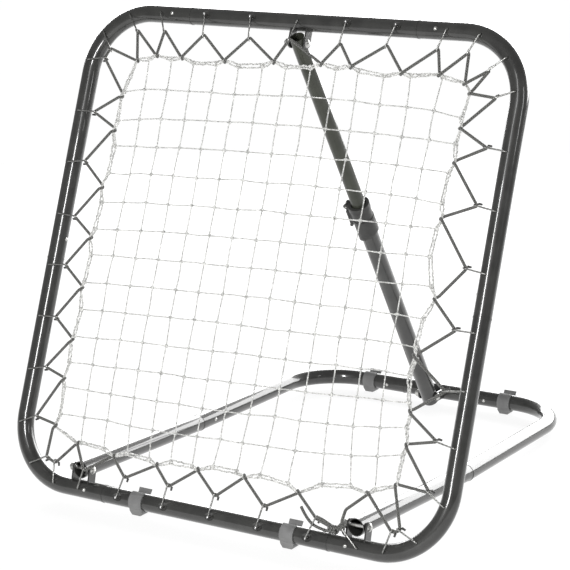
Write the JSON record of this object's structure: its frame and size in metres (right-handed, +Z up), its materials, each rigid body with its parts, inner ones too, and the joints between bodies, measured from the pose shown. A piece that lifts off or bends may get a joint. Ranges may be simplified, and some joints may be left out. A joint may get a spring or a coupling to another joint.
{
  "type": "pitch back rebounder",
  "caption": "Square tube frame with a laced ball-return net, hinged on a U-shaped floor base and held at its angle by a telescopic strut with a lever clamp.",
  "frame": {"origin": "on the floor under the middle of the object's bounding box", "axes": "+Z up; the front face of the net looks towards -Y and the base runs back along +Y; +X to the right seen from the front"},
  "size_m": [0.9312, 0.8966, 0.878],
  "materials": {
    "frame_powder_coat": "glossy charcoal powder coat",
    "inner_tube_paint": "satin charcoal paint",
    "zinc_fasteners": "bright zinc plate",
    "hook_wire": "drawn steel wire",
    "elastic_braid": "braided elastic cord",
    "net_twine": "knotted polyester twine",
    "clip_plastic": "moulded grey plastic",
    "clamp_plastic": "moulded black plastic"
  },
  "bodies": {
    "base": {"base_front_arm_left": "frame_powder_coat", "base_front_arm_right": "frame_powder_coat", "base_rear_tube_left": "frame_powder_coat", "base_rear_tube_right": "frame_powder_coat", "base_rear_tube_centre": "frame_powder_coat", "base_joint_screws": "zinc_fasteners", "rear_bracket": "frame_powder_coat", "rear_bolt": "zinc_fasteners", "rear_nut": "zinc_fasteners", "rear_washer": "zinc_fasteners", "foot_clip_rear_left": "clip_plastic", "foot_clip_rear_right": "clip_plastic"},
    "front_frame": {"top_tube": "frame_powder_coat", "bottom_tube": "frame_powder_coat", "corner_tube_top_left": "frame_powder_coat", "corner_tube_top_right": "frame_powder_coat", "corner_tube_bottom_left": "frame_powder_coat", "corner_tube_bottom_right": "frame_powder_coat", "frame_joint_screws": "zinc_fasteners", "hinge_bracket_left": "frame_powder_coat", "hinge_bracket_right": "frame_powder_coat", "hinge_bolts": "zinc_fasteners", "hinge_nuts": "zinc_fasteners", "hinge_washers": "zinc_fasteners", "top_bracket": "frame_powder_coat", "top_bolt": "zinc_fasteners", "top_nut": "zinc_fasteners", "top_washer": "zinc_fasteners", "hooks_top": "hook_wire", "hooks_bottom": "hook_wire", "hooks_left": "hook_wire", "hooks_right": "hook_wire", "elastic_cord": "elastic_braid", "elastic_loose_end": "elastic_braid", "elastic_knot": "elastic_braid", "net_border_cord": "net_twine", "net_panel": "net_twine"},
    "front_feet": {"foot_clip_front_left": "clip_plastic", "foot_clip_front_right": "clip_plastic"},
    "strut_lower": {"strut_lower_tube": "frame_powder_coat", "clamp_collar": "clamp_plastic", "clamp_lever_pin": "zinc_fasteners"},
    "strut_upper": {"strut_upper_tube": "inner_tube_paint"},
    "clamp_lever": {"clamp_lever": "clamp_plastic"}
  },
  "joints": [
    {"name": "frame_tilt", "type": "hinge", "parent": "base", "child": "front_frame", "pos_m": [0, -0.41912, 0.05987], "axis": [-1, 0, 0], "range_deg": [-10, 25]},
    {"name": "strut_lower_pivot", "type": "hinge", "parent": "base", "child": "strut_lower", "pos_m": [0, 0.38769, 0.024], "axis": [-1, 0, 0], "range_deg": [-6, 14]},
    {"name": "strut_upper_pivot", "type": "hinge", "parent": "front_frame", "child": "strut_upper", "pos_m": [0, -0.12011, 0.82588], "axis": [-1, 0, 0], "range_deg": [-13, 6]},
    {"name": "front_feet_turn", "type": "hinge", "parent": "front_frame", "child": "front_feet", "pos_m": [0, -0.42831, 0.023], "axis": [-1, 0, 0], "range_deg": [-26, 11]},
    {"name": "clamp_lever_flip", "type": "hinge", "parent": "strut_lower", "child": "clamp_lever", "pos_m": [-0.0265, 0.09504, 0.48613], "axis": [0, 0.8448, 0.535], "range_deg": [0, 100]}
  ],
  "couplings": [
    {"joint": "strut_lower_pivot", "follows": "frame_tilt", "ratio": 0.517},
    {"joint": "strut_upper_pivot", "follows": "frame_tilt", "ratio": -0.483},
    {"joint": "front_feet_turn", "follows": "frame_tilt", "ratio": -1}
  ]
}
